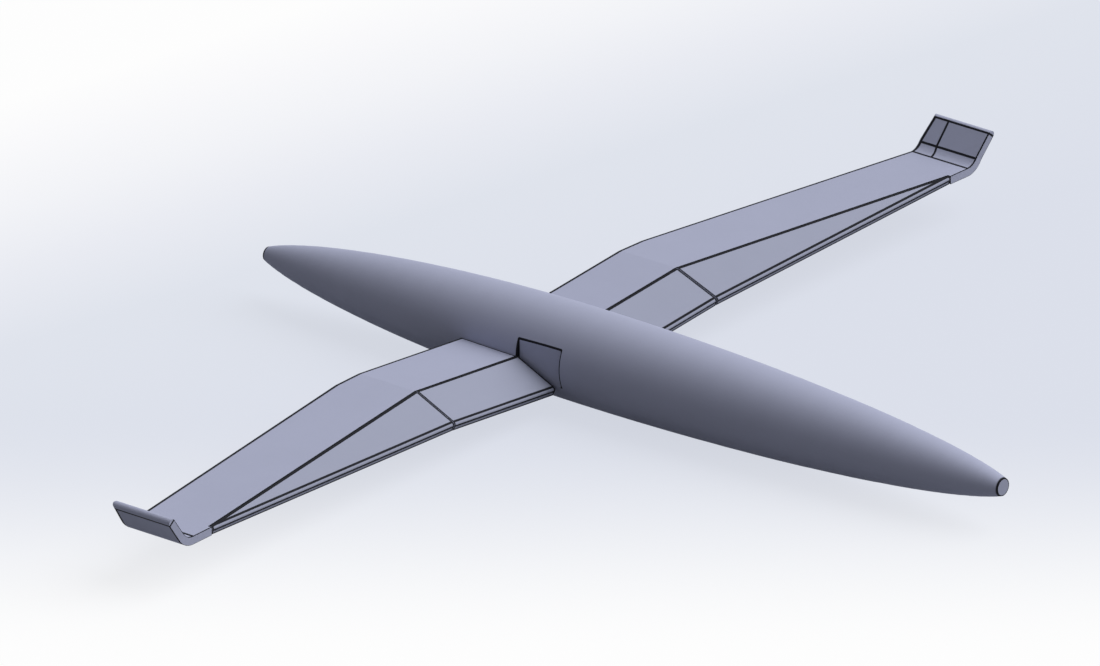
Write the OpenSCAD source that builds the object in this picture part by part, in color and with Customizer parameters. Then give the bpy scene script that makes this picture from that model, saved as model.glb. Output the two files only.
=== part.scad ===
// Tailless radio-controlled sailplane: round spindle body, folded wing, drooping flaps and ailerons.
// +X is starboard, +Y is forward and +Z is up. The origin is under the middle of the body, at the belly.
// Every wing piece is drawn for the starboard side and mirrored for the port side.

/* [Body] */
// Greatest diameter of the body
body_d = 112; // [96:1:130]
// Length from the widest station to the nose
nose_l = 490; // [420:1:560]
// Length from the widest station to the tail
tail_l = 594; // [500:1:680]
// Diameter of the flat disc at the nose
nose_end_d = 17; // [14:0.5:22]
// Diameter of the flat disc at the tail
tail_end_d = 21; // [18:0.5:30]
// Fullness of the body's outline ahead of the widest station: a higher power gives a thinner nose
nose_power = 0.64; // [0.58:0.01:0.8]
// Fullness of the body's outline behind that station: a higher power gives a thinner tail
tail_power = 0.58; // [0.54:0.01:0.8]
// Thickness of the body's shell
shell_wall = 1.6; // [1.2:0.1:2.4]
// Thickness of the disc on each end plug
plug_disc_t = 3; // [2:0.5:5]
// Length of the thick collar that holds each end plug
collar_l = 12; // [8:1:16]
// Wall of that collar at its mouth
collar_wall = 3; // [2:0.25:4]

/* [Wing] */
// Span from tip to tip
span = 1490; // [1300:10:1700]
// Thickness of the wing
wing_t = 10; // [9:0.25:12]
// Leading edge's station ahead of the body's middle
edge_y = 213; // [200:1:226]
// Chord of the fixed panel, from the leading edge to the hinge line
fixed_chord = 88.5; // [84:0.5:100]
// Chord of the flap, from its hinge line to the trailing edge
flap_chord = 61; // [50:0.5:70]
// Distance along the inner panel from the middle of the body to the fold
fold_u = 236.5; // [215:0.5:270]
// Rise of the inner panel
dihedral = 4.9; // [2:0.1:6]
// Fall of the outer panel
anhedral = 1.2; // [0:0.1:3]
// Depth of the wing's middle plane under the body's axis, at the middle of the body
wing_drop = 9.2; // [4:0.1:11]
// Distance from the fold to the start of the swept leading edge
sweep_start = 40.5; // [20:0.5:60]
// Sweep of the outer leading edge
edge_sweep = 7.8; // [6:0.1:9]
// Sweep of the aileron's hinge line
hinge_sweep = 7.3; // [6.5:0.1:8.5]
// Forward shift of the trailing edge from the fold to the tip
tail_edge_shift = 4; // [0:0.5:8]

/* [Winglet] */
// Inside radius of the bend at the tip
bend_r = 19.3; // [15:0.1:40]
// Slope of the winglet
cant = 51.5; // [30:0.1:70]
// Length of the winglet's flat
winglet_l = 33; // [20:0.5:60]
// Amount that the winglet's front edge leans back over its flat
winglet_sweep = 5.2; // [1:0.1:8]
// Amount that the winglet's rear edge leans back over its flat
winglet_rear_sweep = 2.6; // [0.5:0.1:6]
// Step down from the bend to the winglet's flat
winglet_step = 0.1; // [0.05:0.01:0.3]
// Length of the flat below the start of its sweep
sweep_rise = 3; // [2:0.5:6]

/* [Control surfaces] */
// Droop of flaps and ailerons at rest
droop = 22.5; // [18:0.5:24]
// Radius along the trailing edge's upper corner
tail_edge_r = 4; // [2:0.1:4.4]
// Gap between a surface's round nose and the cove that it turns in
cove_gap = 0.4; // [0.35:0.05:0.8]
// Gap at the ends of a surface
end_gap = 1.0; // [0.5:0.1:1.5]
// Chord at the outer end of the aileron
aileron_tip_chord = 2; // [1.5:0.5:8]
// Distance along the inner panel from the middle of the body to the flap's inner end
wing_start_u = 54.3; // [53.5:0.1:55.5]
// Diameter of the hinge wire
pin_d = 1.5; // [1:0.1:2]
// Wall of a hinge lug round the wire
lug_wall = 1.8; // [1.2:0.1:2]
// Width of a hinge lug
lug_w = 5; // [3:0.5:8]
// Thickness of a hinge lug's neck
neck_t = 2.4; // [1.6:0.1:2.6]

/* [Linkage] */
// Length of a wing servo, along the chord
servo_l = 20; // [18:0.5:23]
// Height of a wing servo, along the span
servo_h = 16.6; // [14:0.2:20]
// Thickness of a wing servo
servo_t = 7; // [6:0.1:7.2]
// Distance from a servo's rear end to its shaft
shaft_inset = 5; // [4.5:0.5:8]
// Diameter of a servo's output shaft
shaft_d = 3.6; // [3:0.1:4]
// Length of a servo arm and of a control horn, pivot to pivot
arm_l = 12; // [10:0.5:15]
// Thickness of a servo arm
arm_t = 1.6; // [1.2:0.1:2]
// Thickness of a control horn
horn_t = 1.6; // [1.2:0.1:2]
// Length of a control horn's foot
horn_foot_l = 15; // [12:0.5:18]
// Distance between the pushrod's pivots
pushrod_l = 36; // [34:0.5:40]
// Diameter of the pushrod wire
rod_d = 1.5; // [1.2:0.1:1.8]
// Distance along the hinge line from the middle of the body to the flap's linkage
flap_station = 150; // [125:1:175]
// Distance along the hinge line from the fold to the aileron's linkage
aileron_station = 120; // [90:1:160]

/* [Joiner] */
// Diameter of the bent rod that joins the wings
joiner_d = 5; // [4:0.1:5.5]
// Length of the rod on each side
joiner_l = 190; // [150:1:220]
// Distance from the leading edge back to the rod
joiner_back = 25; // [20:0.5:27]
// Distance along the inner panel from the middle of the body to the wing's root end
root_u = 46; // [42:0.5:48]

/* [Equipment] */
// Thickness of the formers
former_t = 14; // [10:0.5:16]
// Clear length of the tray between the wing former and the front former
tray_l = 175; // [160:1:190]
// Width of the tray
tray_w = 56; // [50:1:62]
// Thickness of the tray
tray_t = 3; // [2:0.5:4]
// Height of the tray's underside above the body's axis
tray_rise = 6; // [3:0.5:12]
// Length, width and height of the battery pack
battery = [70, 35, 18]; // [10:1:90]
// Length, width and height of the receiver
receiver_box = [46, 26, 14]; // [10:1:60]
// Length of the hatch opening
hatch_l = 120; // [100:1:130]
// Width of the hatch opening
hatch_w = 48; // [40:1:56]
// Width of the lip that the hatch rests on
hatch_lip = 5; // [4:0.5:7]
// Thickness of that lip
hatch_lip_t = 1.4; // [1:0.1:2]
// Thread size of the hatch screws
hatch_screw_d = 2.5; // [2:0.1:3]
// Tapping diameter of the tow hook's thread
tow_hole_d = 3.3; // [2.5:0.1:4.2]
// Station of the tow hook ahead of the body's middle
tow_y = 150; // [140:1:158]
// Length of the nose ballast
ballast_l = 50; // [30:1:60]

/* [Clearances] */
// Radial clearance of a part that turns
run_clear = 0.05; // [0.02:0.01:0.1]
// Clearance of a glued part
glue_gap = 0.15; // [0.12:0.01:0.3]
// Clearance of a part that drops into a pocket
pocket_gap = 0.2; // [0.1:0.05:0.4]
// Side clearance of a part that swings past another
swing_gap = 0.4; // [0.3:0.05:0.6]

/* [Hidden] */
$fn = 96;

skin = [0.64, 0.655, 0.745];
skin_low = [0.615, 0.63, 0.71];
carbon = [0.14, 0.14, 0.15];
birch = [0.78, 0.66, 0.48];
steel = [0.66, 0.67, 0.69];
black_nylon = [0.1, 0.1, 0.11];
far = 400;
sliver = 0.01;
past = 1;

// Body outline: two half curves that meet at the widest station.
body_r = body_d / 2;
axis_z = body_r;
nose_y = (nose_l + tail_l) / 2;
tail_y = nose_y - nose_l - tail_l;
widest_y = nose_y - nose_l;
function reach(l, end_d, power) = l / sqrt(1 - pow(end_d / body_d, 1 / power));
nose_reach = reach(nose_l, nose_end_d, nose_power);
tail_reach = reach(tail_l, tail_end_d, tail_power);
function body_share(d) = d / (d > 0 ? nose_reach : tail_reach);
function body_fullness(y) = y > widest_y ? nose_power : tail_power;
function body_r_at(y) = body_r * pow(1 - pow(body_share(y - widest_y), 2), body_fullness(y));
outline_steps = 44;
bay_steps = 8;
// Stations from y0 to y1, closer at the ends, with the widest station among them where it lies between.
function stations(y0, y1, steps) = y0 < widest_y && y1 > widest_y
  ? [for (i = [-steps / 2 : steps / 2]) widest_y + (i < 0 ? widest_y - y0 : y1 - widest_y) * sin(180 * i / steps)]
  : [for (i = [0 : steps]) (y0 + y1) / 2 - (y1 - y0) / 2 * cos(180 * i / steps)];

// Wing lines, in the frames of the inner and outer panels.
nose_r = wing_t / 2;
cove_r = nose_r + cove_gap;
hinge_y = edge_y - fixed_chord;
tail_edge_y = hinge_y - flap_chord;
fold_x = fold_u * cos(dihedral);
fold_z = axis_z - wing_drop + fold_u * sin(dihedral);
bend_mid_r = bend_r + nose_r;
bend_angle = cant + anhedral;
flat_r = nose_r - winglet_step;
tip_reach = bend_mid_r * (sin(cant) + sin(anhedral)) + winglet_l * cos(cant) + flat_r;
outer_l = (span / 2 - tip_reach - fold_x) / cos(anhedral);
tip_edge_y = edge_y - (outer_l - sweep_start) * tan(edge_sweep);
tip_tail_y = tail_edge_y + tail_edge_shift;

// Control surfaces, along their hinge lines.
flap_l = fold_u - end_gap / 2 - wing_start_u;
tail_angle = hinge_sweep + atan2(tail_edge_shift, outer_l);
aileron_chord = flap_chord * cos(tail_angle - hinge_sweep) / cos(tail_angle);
aileron_l = (aileron_chord - aileron_tip_chord) / tan(tail_angle);
pin_r = pin_d / 2;
pin_bore_r = pin_r + run_clear;
lug_r = pin_bore_r + lug_wall;
slot_r = lug_r + cove_gap;
pin_end = 4;
flap_lugs = [0.12, 0.38, 0.64, 0.9];
aileron_lugs = [0.06, 0.34, 0.62, 0.9];

// Linkage: the arm, the pushrod, the horn and the wing make a parallelogram.
rod_r = rod_d / 2;
rod_hole_r = rod_r + run_clear;
rod_x = arm_t / 2 + swing_gap + rod_r;
hub_wall = 1.4;
hub_r = shaft_d / 2 + hub_wall;
eye_wall = 1.1;
arm_tip_r = rod_hole_r + eye_wall;
shoulder = 0.9;
boss_h = 1;
servo_face_x = -arm_t / 2 - swing_gap - boss_h;
shaft_depth = 3.5;
pocket_r = servo_t / 2 + run_clear;
arm_room = 1.5;
pocket_end_x = arm_t / 2 + arm_room;
pocket_room = 1;
pocket_front_y = pushrod_l + servo_l - shaft_inset;
pocket_rear_y = pushrod_l - shaft_inset - pocket_room;
cover_margin = 3;
cover_t = nose_r - pocket_r;
arm_slot_l = 2 * (nose_r * tan(droop) + hub_r + swing_gap);
clevis_l = 15;
clevis_wall = 1.2;
clevis_w = horn_t + 2 * swing_gap + 2 * clevis_wall;
clevis_h = 3.6;
fork_l = 6;
horn_foot_t = 1.2;
horn_foot_w = 6;
horn_front = 3;

// Equipment bay.
pocket_front = hinge_y + cove_r;
flat_front = hinge_y + cove_r * tan(droop / 2);
raised_h = flap_chord * sin(droop) + nose_r * cos(droop);
flat_x = wing_start_u * cos(dihedral) - raised_h * sin(dihedral) - end_gap;
joiner_y = edge_y - joiner_back;
former_y = joiner_y;
bay_rear_y = former_y + former_t / 2;
bay_front_y = bay_rear_y + tray_l;
thin_former_t = 5;
rear_former_y = -150;
hatch_y = (bay_rear_y + bay_front_y) / 2;
ballast_gap = 8;
ballast_y = nose_y - plug_disc_t - collar_l - ballast_gap;
battery_share = 0.7;
receiver_share = 0.2;
tow_block = [26, 26, 14];
screw_head_d = 2 * hatch_screw_d;
screw_head_t = 1.2;
screw_l = 8;
thread_depth = 0.25;
screw_core_d = hatch_screw_d - 2 * thread_depth;
screw_clear = 0.3;
tow_clear = 2;

// Draws its children on the starboard side, or on the port side where side is -1.
module on_side(side) {
  if (side > 0) children();
  else mirror([1, 0, 0]) children();
}

module both_sides() {
  on_side(1) children();
  on_side(-1) children();
}

// Frame of the inner panel: X runs out along the panel, from the middle of the body.
module inner_frame() {
  translate([0, 0, axis_z - wing_drop]) rotate([0, -dihedral, 0]) children();
}

// Frame of the outer panel: X runs out along the panel, from the fold.
module outer_frame() {
  translate([fold_x, 0, fold_z]) rotate([0, anhedral, 0]) children();
}

// Frames of the two hinge lines: X runs out along the hinge wire.
module flap_hinge() {
  inner_frame() translate([0, hinge_y, 0]) children();
}

module aileron_hinge() {
  outer_frame() translate([0, hinge_y, 0]) rotate([0, 0, -hinge_sweep]) children();
}

// Turns a surface or an arm down to its rest position.
module drooped() {
  rotate([droop, 0, 0]) children();
}

// Extrudes a section, forward to the right and up, along X.
module along_x(l) {
  rotate([90, 0, 90]) linear_extrude(l) children();
}

// Length of the body between two stations, of its outside less an offset.
module body_slice(y0, y1, inset, steps) {
  outline = [for (y = stations(y0, y1, steps)) [body_r_at(y) - inset, y]];
  translate([0, 0, axis_z]) rotate([-90, 0, 0]) rotate_extrude()
    polygon(concat([[0, y0]], outline, [[0, y1]]));
}

// Space beside the flap's inner end: an upright flat that clears the raised flap, and a pocket for its round nose.
module flap_space(grow) {
  rear = tail_edge_y - end_gap - grow;
  pocket_half = cove_r + grow;
  translate([flat_x - grow, rear, axis_z - far / 2]) cube([far, flat_front + grow - rear, far]);
  inner_frame() translate([wing_start_u - end_gap - grow, hinge_y, -pocket_half])
    cube([far, pocket_half, 2 * pocket_half]);
}

// Section of the wing with a half-round front edge.
module wing_section(front, rear, t) {
  translate([front - t / 2, 0]) circle(d = t);
  translate([rear, -t / 2]) square([front - t / 2 - rear, t]);
}

// Tongue at the wing's root, which slides into the slot in the body.
module root_tongue(gap) {
  inner_frame() translate([root_u - gap, 0, 0]) along_x(wing_start_u + sliver - root_u + gap)
    wing_section(edge_y + gap, pocket_front + pocket_gap - gap, wing_t + 2 * gap);
}

module root_slot() {
  inner_frame() translate([root_u - pocket_gap, 0, 0]) along_x(far)
    wing_section(edge_y + pocket_gap, pocket_front - sliver, wing_t + 2 * pocket_gap);
}

module joiner_half(r, l) {
  intersection() {
    inner_frame() translate([-r, joiner_y, 0]) rotate([0, 90, 0]) cylinder(r = r, h = l + r);
    translate([0, -far, -far]) cube([2 * far, 2 * far, 2 * far]);
  }
}

// Block under the belly that the hatch fills, narrowed by an inset on each side.
module hatch_block(inset) {
  translate([-hatch_w / 2 + inset, hatch_y - hatch_l / 2 + inset, -sliver])
    cube([hatch_w - 2 * inset, hatch_l - 2 * inset, axis_z]);
}

module hatch_screw_places() {
  for (end = [-1, 1]) {
    y = hatch_y + end * (hatch_l / 2 - hatch_lip / 2);
    translate([0, y, axis_z - body_r_at(y)]) children();
  }
}

module fuselage_shell() color(skin) {
  front = nose_y - plug_disc_t;
  rear = tail_y + plug_disc_t;
  difference() {
    body_slice(rear, front, 0, outline_steps);
    difference() {
      body_slice(rear + collar_l, front - collar_l, shell_wall, outline_steps);
      both_sides() flap_space(shell_wall);
      hatch_lip_ring();
    }
    both_sides() flap_space(0);
    both_sides() root_slot();
    hatch_block(0);
    end_bore(front, nose_end_d);
    end_bore(rear + collar_l + past, tail_end_d);
    translate([0, tow_y, -past]) cylinder(d = tow_hole_d + tow_clear, h = tow_block[2]);
    hatch_screw_places() translate([0, 0, -past]) cylinder(d = screw_core_d, h = screw_l + 2 * past);
  }
}

// Lip inside the shell, round the hatch opening.
module hatch_lip_ring() {
  bottom = hatch_y - hatch_l / 2 - hatch_lip;
  difference() {
    intersection() {
      hatch_block(-hatch_lip);
      body_slice(bottom, bottom + hatch_l + 2 * hatch_lip, shell_wall, bay_steps);
    }
    body_slice(bottom - past, bottom + hatch_l + 2 * hatch_lip + past, shell_wall + hatch_lip_t, bay_steps);
    hatch_block(hatch_lip);
  }
}

module end_bore(y, end_d) {
  translate([0, y + past, axis_z]) rotate([90, 0, 0])
    cylinder(d = end_d - 2 * collar_wall, h = collar_l + 2 * past);
}

module end_plug(y, inward, end_d) {
  spigot_l = collar_l - 2 * past;
  body_slice(min(y, y + inward * plug_disc_t), max(y, y + inward * plug_disc_t), 0, 1);
  translate([0, y + inward * (plug_disc_t - sliver), axis_z]) rotate([-90 * inward, 0, 0])
    cylinder(d = end_d - 2 * collar_wall - 2 * run_clear, h = spigot_l);
}

module nose_plug() color(skin) end_plug(nose_y, -1, nose_end_d);

module tail_plug() color(skin) end_plug(tail_y, 1, tail_end_d);

module nose_ballast() color("dimgray")
  body_slice(ballast_y - ballast_l, ballast_y, shell_wall + glue_gap, 3);

module front_former() color(birch) difference() {
  body_slice(bay_front_y, bay_front_y + thin_former_t, shell_wall + glue_gap, 1);
  translate([0, bay_front_y - past, axis_z]) rotate([-90, 0, 0])
    cylinder(d = body_r / 2, h = thin_former_t + 2 * past);
}

module wing_former() color(birch) difference() {
  body_slice(former_y - former_t / 2, former_y + former_t / 2, shell_wall + glue_gap, 2);
  both_sides() root_slot();
  both_sides() joiner_half(joiner_d / 2 + run_clear, far);
  for (end = [-1, 1])
    translate([0, former_y - former_t, axis_z - wing_drop / 2 + end * body_r / 2])
      rotate([-90, 0, 0]) cylinder(d = body_r / 2, h = 2 * former_t);
}

module rear_former() color(birch) difference() {
  body_slice(rear_former_y, rear_former_y + thin_former_t, shell_wall + glue_gap, 1);
  translate([0, rear_former_y - past, axis_z]) rotate([-90, 0, 0])
    cylinder(d = body_r, h = thin_former_t + 2 * past);
}

module equipment_tray() color(birch)
  translate([-tray_w / 2, bay_rear_y, axis_z + tray_rise]) cube([tray_w, tray_l, tray_t]);

// Box that hangs under the tray, its middle at a share of the tray's length.
module under_tray(box, share) {
  translate([-box[1] / 2, bay_rear_y + share * tray_l - box[0] / 2, axis_z + tray_rise - box[2]])
    cube([box[1], box[0], box[2]]);
}

module battery_pack() color("royalblue") under_tray(battery, battery_share);

module receiver() color(black_nylon) under_tray(receiver_box, receiver_share);

module belly_hatch() color(skin) {
  bottom = hatch_y - hatch_l / 2;
  difference() {
    intersection() {
      body_slice(bottom - past, bottom + hatch_l + past, 0, bay_steps);
      hatch_block(pocket_gap);
    }
    body_slice(bottom - 2 * past, bottom + hatch_l + 2 * past, shell_wall - glue_gap, bay_steps);
    hatch_screw_places() translate([0, 0, -past]) {
      cylinder(d = hatch_screw_d + screw_clear, h = screw_l);
      cylinder(d = screw_head_d + screw_clear, h = screw_head_t / 2 + past);
    }
  }
}

module hatch_screws() color(steel) hatch_screw_places() {
  translate([0, 0, -screw_head_t / 2]) cylinder(d = screw_head_d, h = screw_head_t);
  cylinder(d = screw_core_d - 2 * run_clear, h = screw_l);
}

module tow_hook_block() color(birch) difference() {
  intersection() {
    body_slice(tow_y - tow_block[1] / 2, tow_y + tow_block[1] / 2, shell_wall + glue_gap, 1);
    translate([-tow_block[0] / 2, tow_y - far, 0]) cube([tow_block[0], 2 * far, tow_block[2]]);
  }
  translate([0, tow_y, -past]) cylinder(d = tow_hole_d, h = tow_block[2] + 2 * past);
}

module wing_joiner() color(carbon) both_sides() joiner_half(joiner_d / 2, joiner_l);

// Half of space inboard of the fold's mitre, or outboard of it.
module fold_side(outboard) {
  translate([fold_x, 0, fold_z]) rotate([0, (anhedral - dihedral) / 2, 0])
    translate([outboard ? 0 : -far, -far, -far]) cube([outboard ? 3 * far : far, 2 * far, 2 * far]);
}

module inner_panel() {
  intersection() {
    inner_frame() translate([wing_start_u, 0, 0]) along_x(fold_u + wing_t - wing_start_u)
      wing_section(edge_y, hinge_y, wing_t);
    fold_side(false);
  }
}

// Outer panel: a straight and a swept leading edge, which meet where the sweep starts.
module outer_panel() {
  intersection() {
    outer_frame() intersection() {
      translate([-wing_t, 0, 0]) along_x(outer_l + wing_t) wing_section(edge_y, tail_edge_y - wing_t, wing_t);
      translate([sweep_start, edge_y, 0]) rotate([0, 0, -edge_sweep]) translate([-far, 0, 0])
        along_x(3 * far) wing_section(0, -far, wing_t);
      translate([0, 0, -wing_t]) linear_extrude(2 * wing_t) polygon([
        [-wing_t, tail_edge_y], [0, tail_edge_y], [outer_l, tip_tail_y], [outer_l, edge_y], [-wing_t, edge_y]
      ]);
    }
    fold_side(true);
  }
}

// Rod along a hinge line, for the cove and for the wire's bore.
module hinge_rod(start, l, r) {
  translate([start, 0, 0]) rotate([0, 90, 0]) cylinder(r = r, h = l);
}

// Lugs on the wing that hold the hinge wire, at shares of a surface's length.
module hinge_lugs(start, l, shares) {
  for (share = shares)
    translate([start + share * l - lug_w / 2, 0, 0]) along_x(lug_w) difference() {
      union() {
        circle(r = lug_r);
        translate([0, -neck_t / 2]) square([cove_r + neck_t, neck_t]);
      }
      circle(r = pin_bore_r);
    }
}

// Slots in a surface's nose that clear the lugs over the whole travel.
module lug_slots(start, l, shares) {
  root = (neck_t / 2 + swing_gap) / cos(droop);
  mouth = root + cove_r * tan(droop);
  for (share = shares)
    translate([start + share * l - lug_w / 2 - swing_gap, 0, 0]) along_x(lug_w + 2 * swing_gap) {
      circle(r = slot_r);
      polygon([[0, -root], [cove_r, -mouth], [cove_r, mouth], [0, root]]);
    }
}

// Servo, pocket and cover, drawn in a hinge frame with the linkage's plane at X = 0.
module servo_pocket() {
  start = servo_face_x - servo_h - pocket_gap;
  rear = pocket_rear_y - pocket_gap;
  translate([start, rear, -pocket_r])
    cube([pocket_end_x - start, pocket_front_y + pocket_gap - rear, 2 * pocket_r]);
  cover_plate(0, wing_t);
}

module cover_plate(gap, t) {
  start = servo_face_x - servo_h - pocket_gap - cover_margin + gap;
  rear = pocket_rear_y - pocket_gap - cover_margin + gap;
  end = pocket_end_x + cover_margin - gap;
  front = pocket_front_y + pocket_gap + cover_margin - gap;
  translate([start, rear, -pocket_r - t]) cube([end - start, front - rear, t]);
}

module servo_cover() {
  difference() {
    cover_plate(pocket_gap, cover_t);
    translate([-arm_t / 2 - swing_gap, pushrod_l - arm_slot_l / 2, -wing_t])
      cube([arm_t + 2 * swing_gap, arm_slot_l, wing_t]);
  }
}

module servo() {
  translate([0, pushrod_l, 0]) difference() {
    union() {
      translate([servo_face_x - servo_h, -shaft_inset, -servo_t / 2]) cube([servo_h, servo_l, servo_t]);
      translate([servo_face_x - sliver, 0, 0]) rotate([0, 90, 0]) cylinder(r = hub_r, h = boss_h + sliver);
    }
    translate([servo_face_x + boss_h - shaft_depth, 0, 0]) rotate([0, 90, 0])
      cylinder(r = shaft_d / 2 + run_clear, h = far);
  }
}

// Arm with its output shaft. It hangs straight down when the surface is level.
module servo_arm() {
  translate([0, pushrod_l, 0]) drooped() {
    translate([-arm_t / 2, 0, 0]) along_x(arm_t) difference() {
      union() {
        circle(r = hub_r);
        translate([0, -arm_l]) circle(r = arm_tip_r);
        polygon([
          [-hub_r * shoulder, 0], [hub_r * shoulder, 0],
          [arm_tip_r * shoulder, -arm_l], [-arm_tip_r * shoulder, -arm_l]
        ]);
      }
      translate([0, -arm_l]) circle(r = rod_hole_r);
    }
    translate([servo_face_x + boss_h - shaft_depth + swing_gap, 0, 0]) rotate([0, 90, 0])
      cylinder(d = shaft_d, h = shaft_depth);
  }
}

// Frame at the horn's pivot, where the clevis sits, at rest.
module horn_pivot() {
  translate([rod_x, arm_l * sin(droop), -arm_l * cos(droop)]) children();
}

// Wire with one end bent through the servo arm.
module pushrod() {
  horn_pivot() {
    translate([0, fork_l + sliver, 0]) rotate([-90, 0, 0]) cylinder(r = rod_r, h = pushrod_l + rod_r - fork_l);
    translate([-rod_x - arm_t / 2 - past, pushrod_l, 0]) rotate([0, 90, 0])
      cylinder(r = rod_r, h = rod_x + arm_t / 2 + past);
  }
}

module clevis() {
  horn_pivot() {
    difference() {
      translate([-clevis_w / 2, -clevis_h / 2, -clevis_h / 2]) cube([clevis_w, clevis_l, clevis_h]);
      translate([-horn_t / 2 - swing_gap, -clevis_h, -clevis_h])
        cube([horn_t + 2 * swing_gap, clevis_h + fork_l, 2 * clevis_h]);
      rotate([-90, 0, 0]) cylinder(r = rod_hole_r, h = far);
    }
    translate([-clevis_w / 2, 0, 0]) rotate([0, 90, 0]) cylinder(r = rod_r, h = clevis_w);
  }
}

module horn() {
  drooped() {
    translate([rod_x - horn_t / 2, 0, 0]) along_x(horn_t) difference() {
      union() {
        polygon([
          [-horn_front, -nose_r], [-horn_front - horn_foot_l, -nose_r],
          [-arm_tip_r * shoulder, -arm_l - arm_tip_r / 2], [arm_tip_r * shoulder, -arm_l + arm_tip_r / 2]
        ]);
        translate([0, -arm_l]) circle(r = arm_tip_r);
      }
      translate([0, -arm_l]) circle(r = rod_hole_r);
    }
    translate([rod_x - horn_foot_w / 2, -horn_front - horn_foot_l, -nose_r - horn_foot_t])
      cube([horn_foot_w, horn_foot_l, horn_foot_t]);
  }
}

module flap_linkage() {
  flap_hinge() translate([flap_station, 0, 0]) children();
}

module aileron_linkage() {
  aileron_hinge() translate([aileron_station, 0, 0]) children();
}

// Fixed half of the wing, on the starboard side.
module wing() {
  difference() {
    union() {
      inner_panel();
      outer_panel();
      root_tongue(0);
    }
    flap_hinge() hinge_rod(0, fold_u, cove_r);
    aileron_hinge() hinge_rod(-cove_r, aileron_l + end_gap + cove_r, cove_r);
    aileron_hinge() translate([-cove_r, -far, -far / 2]) cube([aileron_l + end_gap + cove_r, far, far]);
    joiner_half(joiner_d / 2 + run_clear, joiner_l + past);
    flap_linkage() servo_pocket();
    aileron_linkage() servo_pocket();
  }
  flap_hinge() hinge_lugs(wing_start_u, flap_l, flap_lugs);
  aileron_hinge() hinge_lugs(0, aileron_l, aileron_lugs);
}

// Movable surface, level: a round nose on the hinge line and a trailing edge that may taper.
module control_blade(l, chord, tail_slope) {
  intersection() {
    along_x(l) {
      circle(r = nose_r);
      translate([-far, -nose_r]) square([far, wing_t]);
    }
    translate([0, -chord, 0]) rotate([0, 0, tail_slope]) translate([-far, 0, 0]) along_x(4 * far) {
      translate([tail_edge_r, -nose_r]) square([far, wing_t]);
      translate([0, -nose_r]) square([far, wing_t - tail_edge_r]);
      translate([tail_edge_r, nose_r - tail_edge_r]) circle(r = tail_edge_r);
    }
  }
}

module flap() {
  flap_hinge() drooped() difference() {
    translate([wing_start_u, 0, 0]) control_blade(flap_l, flap_chord, 0);
    hinge_rod(wing_start_u - past, flap_l + 2 * past, pin_bore_r);
    lug_slots(wing_start_u, flap_l, flap_lugs);
  }
}

module aileron() {
  intersection() {
    aileron_hinge() drooped() difference() {
      translate([-far, 0, 0]) control_blade(far + aileron_l, aileron_chord + far * tan(tail_angle), tail_angle);
      hinge_rod(-far, 2 * far + aileron_l, pin_bore_r);
      lug_slots(0, aileron_l, aileron_lugs);
    }
    inner_frame() translate([fold_u + end_gap / 2, -far, -far]) cube([3 * far, 3 * far, 2 * far]);
  }
}

module flap_pin() {
  flap_hinge() hinge_rod(wing_start_u + pin_end, flap_l - 2 * pin_end, pin_r);
}

module aileron_pin() {
  aileron_hinge() hinge_rod(2 * pin_end, aileron_l - 3 * pin_end, pin_r);
}

// Tip: the wing's section turned round the bend and carried on up the flat. The bend sweeps back from the flat.
module winglet() {
  outer_frame() translate([outer_l, 0, bend_mid_r]) rotate([0, -bend_angle, 0]) {
    mirror([1, 0, 0]) rotate([90, 90, 0]) rotate_extrude(angle = bend_angle) translate([bend_mid_r, 0]) rotate(-90)
      wing_section(tip_edge_y, tip_tail_y, wing_t);
    translate([0, 0, -bend_mid_r]) winglet_flat();
  }
}

// Flat of the tip, one step inside the bend. Its two edges lean back from a little way above the bend.
module winglet_flat() {
  lean = atan2(winglet_sweep, winglet_l - sweep_rise);
  rear_lean = atan2(winglet_rear_sweep, winglet_l - sweep_rise);
  front = tip_edge_y - winglet_step;
  rear = tip_tail_y + winglet_step;
  top = winglet_l + flat_r;
  intersection() {
    translate([-sliver, 0, 0]) along_x(top + sliver) wing_section(front, rear - wing_t, 2 * flat_r);
    translate([sweep_rise, front, 0]) rotate([0, 0, -lean]) translate([-far, 0, 0])
      along_x(2 * far) wing_section(0, -far, 2 * flat_r);
    translate([0, far, 0]) rotate([90, 0, 0]) linear_extrude(2 * far) {
      translate([-past, -wing_t]) square([winglet_l + past, 2 * wing_t]);
      translate([winglet_l, 0]) circle(r = flat_r);
    }
    translate([0, 0, -wing_t]) linear_extrude(2 * wing_t) polygon([
      [-past, rear], [sweep_rise, rear], [top + past, rear - (top + past - sweep_rise) * tan(rear_lean)],
      [top + past, far], [-past, far]
    ]);
  }
}

module left_wing() color(skin) on_side(-1) wing();
module right_wing() color(skin) on_side(1) wing();
module left_winglet() color(skin) on_side(-1) winglet();
module right_winglet() color(skin) on_side(1) winglet();
module left_flap() color(skin_low) on_side(-1) flap();
module right_flap() color(skin_low) on_side(1) flap();
module left_aileron() color(skin_low) on_side(-1) aileron();
module right_aileron() color(skin_low) on_side(1) aileron();
module left_flap_pin() color(steel) on_side(-1) flap_pin();
module right_flap_pin() color(steel) on_side(1) flap_pin();
module left_aileron_pin() color(steel) on_side(-1) aileron_pin();
module right_aileron_pin() color(steel) on_side(1) aileron_pin();
module left_flap_horn() color(black_nylon) on_side(-1) flap_linkage() horn();
module right_flap_horn() color(black_nylon) on_side(1) flap_linkage() horn();
module left_aileron_horn() color(black_nylon) on_side(-1) aileron_linkage() horn();
module right_aileron_horn() color(black_nylon) on_side(1) aileron_linkage() horn();
module left_flap_servo() color(black_nylon) on_side(-1) flap_linkage() servo();
module right_flap_servo() color(black_nylon) on_side(1) flap_linkage() servo();
module left_aileron_servo() color(black_nylon) on_side(-1) aileron_linkage() servo();
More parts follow.
